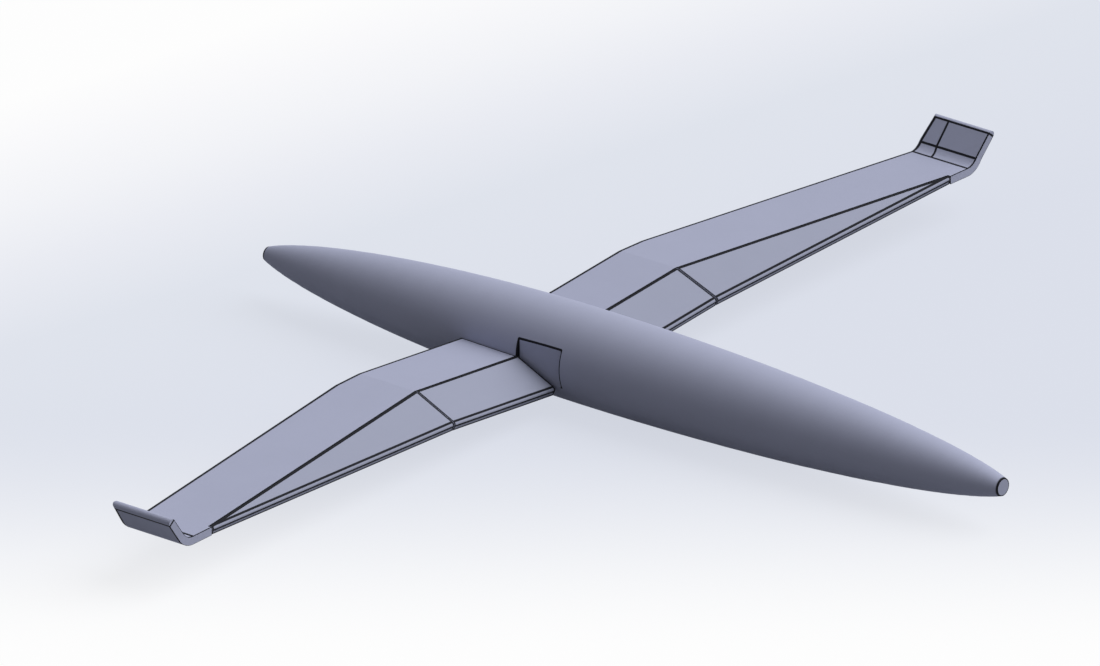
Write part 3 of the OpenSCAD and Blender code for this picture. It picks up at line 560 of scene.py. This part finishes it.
def wing_lines(tree, place):
    """Painted shade in the hollow along the hinge lines, the joints with tip and body, and the front and rear
    edges.
    """
    at = body_places(tree, place)
    point = mirrored(tree, place)
    inboard = below(tree, at["out"], fold_x)
    # inner and outer: painted shade in the hollow round each hinge line, reaching a little onto the top as a
    # dark hinge line.
    inner = calc(tree, "MULTIPLY", inboard, below(
        tree, line_distance(tree, point, inner_hinge, inner_along), cove_reach))
    outer = combined(
        tree, "MULTIPLY", below(tree, line_distance(tree, point, outer_hinge, outer_along), cove_reach),
        below(tree, measured(tree, point, outer_hinge, outer_along), aileron_length + end_gap + cove_overrun),
        calc(tree, "SUBTRACT", 1.0, inboard))
    level = measured(tree, point, outer_hinge, outer_turn.col[2])
    tip = calc(tree, "MAXIMUM", seam(tree, beyond(tree, at["out"], tip_joint_x), tip_joint_half),
               seam(tree, measured(tree, point, tip_rear, tip_rear_way), tip_rear_half))
    tip = calc(tree, "MULTIPLY", tip, above(tree, calc(tree, "ABSOLUTE", level), face_z))
    root = calc(tree, "MULTIPLY", seam(tree, at["depth"], root_half), above(tree, at["station"], root_rear_y))
    ahead = calc(tree, "MAXIMUM", beyond(tree, at["station"], edge_y),
                 measured(tree, point, swept_edge, swept_edge_way))
    top = calc(tree, "MAXIMUM", level, measured(tree, point, inner_hinge, inner_turn.col[2]))
    front = calc(tree, "MULTIPLY", seam(tree, calc(tree, "ADD", ahead, edge_line_back), edge_line_half),
                 above(tree, top, front_face_z))
    return combined(tree, "MAXIMUM", inner, outer, tip, root, front)


dress(painted("wing_skin", skin_paint, wing_lines), "left_wing", "right_wing")


# Winglets: the upturned tips, foam under a glass skin like the wing's, bent round a mandrel and bonded to it.
# Their joint, the end of the bend, the top's round edge and the lap in the skin show as fine lines.
cant, bend_middle_radius, bend_start_x, bend_start = radians(51.5), 0.0243, 0.4645, -0.01535
winglet_flat_length, lean_start, flat_foot, winglet_face_z = 0.033, 0.003, -0.0005, 0.0042
rear_edge_y, rear_edge_lean, front_edge_y, front_edge_lean = 0.0676, -0.0867, 0.15492, -0.1733
lap_y, lap_lean, lap_bend_shift = 0.1266, -0.048, -0.0042
lap_half, bend_end_half, winglet_top_half, winglet_rear_half = 0.0015, 0.0015, 0.0013, 0.0018
bend_middle = outer_hinge + level_turn @ Vector((bend_start_x, -hinge_y, bend_middle_radius))
winglet_turn = Matrix.Rotation(-cant, 3, "Y")
flat_start = bend_middle - bend_middle_radius * winglet_turn.col[2]


def tip_lines(tree, place):
    """The joint with the wing, the end of the bend, the lap, the two edges and the start of the round top."""
    axes = add(tree, "ShaderNodeSeparateXYZ", {0: place}).outputs
    point = mirrored(tree, place)
    up_flat = measured(tree, point, flat_start, winglet_turn.col[0])
    proud = measured(tree, point, flat_start, winglet_turn.col[2])
    from_bend = line_distance(tree, point, bend_middle, (0, 1, 0))
    on_flat, under_top = above(tree, up_flat, flat_foot), below(tree, up_flat, winglet_flat_length)
    in_bend = below(tree, from_bend, bend_middle_radius - face_z)
    under_bend = calc(tree, "MULTIPLY", above(tree, from_bend, bend_middle_radius + face_z),
                      below(tree, up_flat, 0.0))
    inner_face = calc(tree, "MAXIMUM", in_bend, calc(
        tree, "MULTIPLY", on_flat, above(tree, proud, winglet_face_z)))
    outer_face = calc(tree, "MAXIMUM", under_bend, calc(
        tree, "MULTIPLY", on_flat, below(tree, proud, -winglet_face_z)))

    joint = seam(tree, beyond(tree, calc(tree, "ABSOLUTE", axes["X"]), tip_joint_x), tip_joint_half)
    lap_at = calc(tree, "ADD", spread(tree, up_flat, bend_start, 0.0, low=lap_bend_shift, high=0.0),
                  swung(tree, calc(tree, "MAXIMUM", up_flat, 0.0), lap_lean, lap_y))
    lap = calc(tree, "MULTIPLY", seam(tree, beyond(tree, axes["Y"], lap_at), lap_half), under_top)
    bend_end = seam(tree, up_flat, bend_end_half)
    top = seam(tree, beyond(tree, up_flat, winglet_flat_length), winglet_top_half)
    leaning = calc(tree, "MAXIMUM", beyond(tree, up_flat, lean_start), 0.0)
    rear_at = swung(tree, leaning, rear_edge_lean, rear_edge_y)
    front_at = swung(tree, leaning, front_edge_lean, front_edge_y - edge_line_back)
    edges = calc(tree, "MAXIMUM", seam(tree, beyond(tree, axes["Y"], rear_at), winglet_rear_half),
                 seam(tree, beyond(tree, axes["Y"], front_at), edge_line_half))
    edges = calc(tree, "MULTIPLY", edges, under_top)
    return combined(
        tree, "MAXIMUM", calc(tree, "MULTIPLY", joint, calc(tree, "MAXIMUM", in_bend, under_bend)),
        calc(tree, "MULTIPLY", edges, outer_face), top,
        calc(tree, "MULTIPLY", inner_face, combined(tree, "MAXIMUM", lap, edges, bend_end)))


dress(painted("winglet_skin", skin_paint, tip_lines), "left_winglet", "right_winglet")


# Flaps and ailerons: thin blades of glass-skinned foam, round at the nose, and a little darker than the wing
# by painted shade.
# They turn on wires in the wing's hollow and droop at rest. Dark lines follow the ends and rear edge, and the
# nose in the hollow has painted shade.
droop, blade_half_t, trailing_round = radians(22.5), 0.005, 0.004
# The nose values give how far behind the hinge the painted shade on each blade's nose reaches.
flap_start_u, flap_chord, flap_nose_shade = 0.0543, 0.061, 0.0002
aileron_chord, aileron_lean, aileron_nose_shade = 0.061566, radians(7.7934), 0.0004
blade_nose_radius, blade_face_z, trailing_face, round_end_z, end_face = 0.00503, 0.004, -0.0012, 0.001, 0.0001
round_start_half, round_end_half, foot_half, cut_half = 0.0016, 0.0013, 0.002, 0.0026
# blade_shaded_paint is the wing's paint made darker: painted shade on the flaps and ailerons.
blade_shaded_paint = srgb(151, 155, 175)


def blade_lines(hinge, turn, chord, lean, nose_shade, ends):
    """Lines of one blade, with painted shade on its nose. lean turns its trailing edge. An end has a start, a
    way, a place and a gap.
    """
    drooped = turn @ Matrix.Rotation(droop, 3, "X")
    along, back, proud_way = drooped.col[0], -drooped.col[1], drooped.col[2]
    rearward = back * cos(lean) + along * sin(lean)

    def lines(tree, place):
        point = mirrored(tree, place)
        from_hinge = line_distance(tree, point, hinge, along)
        # nose: painted shade on the blade's round nose, where it lies in the wing's hollow.
        nose = calc(tree, "MULTIPLY", below(tree, from_hinge, blade_nose_radius),
                    below(tree, measured(tree, point, hinge, back), nose_shade))
        from_edge = beyond(tree, measured(tree, point, hinge, rearward), chord * cos(lean))
        proud = measured(tree, point, hinge, proud_way)
        round_start = calc(
            tree, "MULTIPLY", seam(tree, calc(tree, "ADD", from_edge, trailing_round), round_start_half),
            above(tree, proud, blade_face_z))
        at_face = above(tree, from_edge, trailing_face)
        round_end = seam(tree, beyond(tree, proud, round_end_z), round_end_half)
        foot = seam(tree, calc(tree, "ADD", proud, blade_half_t), foot_half)
        face_lines = calc(tree, "MULTIPLY", at_face, calc(tree, "MAXIMUM", round_end, foot))
        drawn = combined(tree, "MAXIMUM", nose, round_start, face_lines)
        for start, way, at, gap in ends:
            from_cut = beyond(tree, measured(tree, point, start, way), at)
            drawn = calc(tree, "MAXIMUM", drawn, seam(tree, from_cut, cut_half))
            off_face = above(tree, calc(tree, "ABSOLUTE", from_cut), gap + end_face)
            drawn = calc(tree, "MULTIPLY", drawn, off_face)
        return drawn
    return lines


division = (inner_hinge, inner_along, fold_u, end_gap / 2)
flap_end = (inner_hinge, inner_along, flap_start_u, 0.0)
aileron_end = (outer_hinge, outer_along, aileron_length, 0.0)
dress(painted("flap_shaded_skin", blade_shaded_paint, blade_lines(
    inner_hinge, inner_turn, flap_chord, 0.0, flap_nose_shade, [division, flap_end])),
    "left_flap", "right_flap")
dress(painted("aileron_shaded_skin", blade_shaded_paint, blade_lines(
    outer_hinge, outer_turn, aileron_chord, aileron_lean, aileron_nose_shade, [division, aileron_end])),
    "left_aileron", "right_aileron")


# Hinge wires: straight lengths of bright spring steel, one for each blade.
# Each is pushed through the lugs on the wing and the bore in the blade's nose.
dress(bright_steel, "left_flap_pin", "right_flap_pin", "left_aileron_pin", "right_aileron_pin")


# Servos and covers: a small nylon-cased servo on its side in a pocket of the wing, under a flush skin cover.
# Four small countersunk screws hold each cover. The servo's arm comes down through a slot in it.
flap_station, aileron_station = 0.150, 0.120
cover_screw_x, cover_screw_y = (-0.0203, 0.0038), (0.0285, 0.0525)
cover_face_z, cover_screw_sink = -0.005, 0.0003
case_nylon = moulded("case_nylon", srgb(36, 37, 40), cells=1600.0, dent=0.15, smooth=0.45, rough=0.6)
cover_skin = painted("cover_skin", skin_paint)
surfaces = [f"{side}_{kind}" for side in ("left", "right") for kind in ("flap", "aileron")]


def linkage_place(name):
    """Place of one linkage, with X out along the hinge wire, Y forward and Z up. It is mirrored to port."""
    hinge, turn, station = ((inner_hinge, inner_turn, flap_station) if "flap" in name
                            else (outer_hinge, outer_turn, aileron_station))
    placed = Matrix.Translation(hinge + station * turn.col[0]) @ turn.to_4x4()
    return Matrix.Scale(-1, 4, (1, 0, 0)) @ placed if "left" in name else placed


for name in surfaces:
    dress(case_nylon, f"{name}_servo")
    dress(cover_skin, f"{name}_servo_cover")
    seats = [(x, y, cover_face_z + cover_screw_sink) for x in cover_screw_x for y in cover_screw_y]
    screws = grown(screw_heads, seats, [], {
        "Head Radius": 0.0011, "Head Height": 0.00045, "Crown": 0.0001,
        "Shank Radius": 0.0005, "Shank Length": 0.004})
    fixed(f"{name}_cover_screws", screws, "airframe", linkage_place(name))


# Servo arms and control horns: moulded black nylon. The arm sits on the servo's shaft.
# The horn's foot is screwed to the blade's underside with four small screws.
rod_x, horn_screw_half, nylon_round = 0.00195, 0.00195, 0.00025
horn_screw_x, horn_screw_y = (rod_x - horn_screw_half, rod_x + horn_screw_half), (-0.0055, -0.015)
horn_foot_z = -0.0062


def softened(node, width):
    """Copy of a CAD node with its triangles merged into plain faces and its corners rounded."""
    doubles, flatness, corner_angle = 1e-6, radians(1), radians(40)
    shape = bmesh.new()
    shape.from_mesh(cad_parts[node].data)
    bmesh.ops.remove_doubles(shape, verts=shape.verts, dist=doubles)
    bmesh.ops.dissolve_limit(shape, angle_limit=flatness, verts=shape.verts, edges=shape.edges)
    corners = [edge for edge in shape.edges if edge.is_manifold and edge.calc_face_angle() > corner_angle]
    bmesh.ops.bevel(
        shape, geom=corners, offset=width, segments=2, profile=0.5, affect="EDGES", clamp_overlap=True)
    made = bpy.data.meshes.new(node)
    shape.to_mesh(made)
    shape.free()
    return made


for name in surfaces:
    for node, body in ((f"{name}_servo_arm", f"{name}_arm"), (f"{name}_horn", name)):
        made = softened(node, nylon_round)
        made.materials.append(case_nylon)
        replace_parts(fixed(f"{node}_moulding", made, body), node)
    screws = grown(screw_heads, [(x, y, horn_foot_z) for x in horn_screw_x for y in horn_screw_y], [], {
        "Head Radius": 0.00085, "Head Height": 0.0005, "Crown": 0.0002,
        "Shank Radius": 0.0004, "Shank Length": 0.004})
    fixed(f"{name}_horn_screws", screws, name, linkage_place(name) @ Matrix.Rotation(droop, 4, "X"))


# Pushrods and clevises: drawn steel wire with a bent end in the arm, and a folded steel fork on the horn.
# The fork screws on the wire's rolled thread, which sets the blade's rest.
arm_length, rod_length, fork_length, bent_end, fork_round = 0.012, 0.036, 0.006, 0.00375, 0.0003
thread_start, thread_length = 0.0132, 0.01
bent_rod, has, gives = lay_tree("Bent Rod", "GeometryNodeTree", [
    ("Path", "NodeSocketGeometry", None), ("Wire Radius", "NodeSocketFloat", 0.00075),
    ("Bend Radius", "NodeSocketFloat", 0.0011), ("Thread Start", "NodeSocketFloat", 0.0),
    ("Thread Length", "NodeSocketFloat", 0.01), ("Thread Pitch", "NodeSocketFloat", 0.0004),
    ("Thread Height", "NodeSocketFloat", 0.00012)], [("Rod", "NodeSocketGeometry")])
bend_steps, wire_sides, thread_steps, thread_sides = 8, 20, 14, 4


def swept(curve, radius, sides):
    """A round bar of so many sides along a curve, closed at both ends."""
    ring = add(bent_rod, "GeometryNodeCurvePrimitiveCircle", {"Resolution": sides, "Radius": radius})
    return add(bent_rod, "GeometryNodeCurveToMesh", {
        "Curve": curve, "Profile Curve": ring.outputs["Curve"], "Fill Caps": True}).outputs["Mesh"]


line = add(bent_rod, "GeometryNodeMeshToCurve", {"Mesh": has["Path"]}).outputs["Curve"]
bent = add(bent_rod, "GeometryNodeFilletCurve", {
    "Curve": line, "Count": bend_steps, "Radius": has["Bend Radius"]}, mode="POLY").outputs["Curve"]
wire = swept(bent, has["Wire Radius"], wire_sides)
spiral = add(bent_rod, "GeometryNodeCurveSpiral", {
    "Resolution": thread_steps, "Height": has["Thread Length"],
    "Rotations": calc(bent_rod, "DIVIDE", has["Thread Length"], has["Thread Pitch"]),
    "Start Radius": has["Wire Radius"], "End Radius": has["Wire Radius"]}).outputs["Curve"]
thread = add(bent_rod, "GeometryNodeTransform", {
    "Geometry": swept(spiral, has["Thread Height"], thread_sides), "Rotation": (-pi / 2, 0.0, 0.0),
    "Translation": add(bent_rod, "ShaderNodeCombineXYZ", {"Y": has["Thread Start"]}).outputs[0]}).outputs[0]
joined = add(bent_rod, "GeometryNodeJoinGeometry")
for part in (wire, thread):
    bent_rod.links.new(part, joined.inputs[0])
solid = add(bent_rod, "GeometryNodeRealizeInstances", {0: joined.outputs[0]})
coated = add(bent_rod, "GeometryNodeSetMaterial", {"Geometry": solid.outputs[0], "Material": bright_steel})
give(bent_rod, gives, Rod=coated.outputs[0])

wire_path = [(0, fork_length, 0), (0, rod_length, 0), (-bent_end, rod_length, 0)]
pivot = Matrix.Translation((rod_x, arm_length * sin(droop), -arm_length * cos(droop)))
for name in surfaces:
    rod = grown(bent_rod, wire_path, [(0, 1), (1, 2)], {
        "Thread Start": thread_start, "Thread Length": thread_length})
    rod = fixed(f"{name}_bent_rod", rod, f"{name}_rod", linkage_place(name) @ pivot)
    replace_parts(rod, f"{name}_pushrod")
    made = softened(f"{name}_clevis", fork_round)
    made.materials.append(bright_steel)
    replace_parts(fixed(f"{name}_fork", made, f"{name}_rod"), f"{name}_clevis")


# Floor and light: a pale floor that turns from white to blue-grey, one broad soft lamp and an even sky.
# The floor shows its own pale colour to the camera and is darker to the light that it throws back.
floor_half, floor_drop, floor_shine = 8, 0.0002, 0.88
floor_white, floor_thrown, sky_shown = srgb(254, 254, 254), (0.24, 0.245, 0.26, 1), srgb(226, 229, 238)
floor_stops = [(0.0, floor_white), (0.107, srgb(250, 250, 252)), (0.254, srgb(243, 244, 248)),
               (0.401, srgb(234, 236, 243)), (0.578, srgb(224, 228, 237)), (1.0, srgb(220, 224, 235))]
# Each way over the floor, with the position at the middle, and where the change of colour starts and ends.
turn_way, turn_middle, turn_start, turn_end = (-257.2, -1335.7, 0), 1918.2, 300.0, 1660.0
near_way, near_middle, near_start, near_end = (-260.9, -212.0, 0), 414.5, 410.0, 650.0
sky_light, lamp_energy, lamp_spread = (0.222, 0.222, 0.228, 1), 2.95, radians(60)
lamp_side = Vector((0.45, -0.45, 0.76))

floor_mesh = bpy.data.meshes.new("floor")
floor_mesh.from_pydata([(x * floor_half, y * floor_half, 0) for x, y in ((-1, -1), (1, -1), (1, 1), (-1, 1))],
                       [], [(0, 1, 2, 3)])
floor = bpy.data.objects.new("floor", floor_mesh)
floor.location.z = -floor_drop
bpy.context.scene.collection.objects.link(floor)
paper = bpy.data.materials.new("floor_paper")
paper.use_nodes = True
floor_mesh.materials.append(paper)
tree = paper.node_tree
tree.nodes.remove(tree.nodes["Principled BSDF"])
place = add(tree, "ShaderNodeTexCoord").outputs["Object"]


def across(tree, place, way, middle):
    """Position along a way over the floor."""
    return calc(tree, "ADD", vector_calc(tree, "DOT_PRODUCT", place, way)["Value"], middle)


def shows_background(tree):
    """One for rays from the camera, a shiny surface or glass, zero for those that light the object."""
    rays = add(tree, "ShaderNodeLightPath").outputs
    return combined(
        tree, "MAXIMUM", rays["Is Camera Ray"], rays["Is Glossy Ray"], rays["Is Transmission Ray"])


turning = spread(tree, across(tree, place, turn_way, turn_middle), turn_start, turn_end)
ramp = add(tree, "ShaderNodeValToRGB", {"Fac": turning})
stops = ramp.color_ramp.elements
stops.remove(stops[1])
stops[0].position, stops[0].color = floor_stops[0]
for at, colour in floor_stops[1:]:
    stops.new(at).color = colour
near = spread(tree, across(tree, place, near_way, near_middle), near_start, near_end,
              interpolation_type="SMOOTHSTEP")
pale = mixed(tree, near, ramp.outputs["Color"], floor_white)
shine = add(tree, "ShaderNodeEmission", {"Color": pale, "Strength": floor_shine})
matt = add(tree, "ShaderNodeBsdfDiffuse", {"Color": shaded(tree, pale, 1 - floor_shine)})
shown = add(tree, "ShaderNodeAddShader", {0: shine.outputs[0], 1: matt.outputs[0]})
hidden = add(tree, "ShaderNodeBsdfDiffuse", {"Color": floor_thrown})
both = add(tree, "ShaderNodeMixShader", {
    0: shows_background(tree), 1: hidden.outputs[0], 2: shown.outputs[0]})
tree.links.new(both.outputs[0], tree.nodes["Material Output"].inputs["Surface"])

world = bpy.data.worlds.new("studio")
world.use_nodes = True
bpy.context.scene.world = world
sky = mixed(world.node_tree, shows_background(world.node_tree), sky_light, sky_shown)
world.node_tree.links.new(sky, world.node_tree.nodes["Background"].inputs["Color"])

lamp = bpy.data.lights.new("key_lamp", "SUN")
lamp.energy = lamp_energy
lamp.angle = lamp_spread
key = bpy.data.objects.new("key_lamp", lamp)
key.rotation_euler = lamp_side.to_track_quat("Z", "Y").to_euler()
bpy.context.scene.collection.objects.link(key)
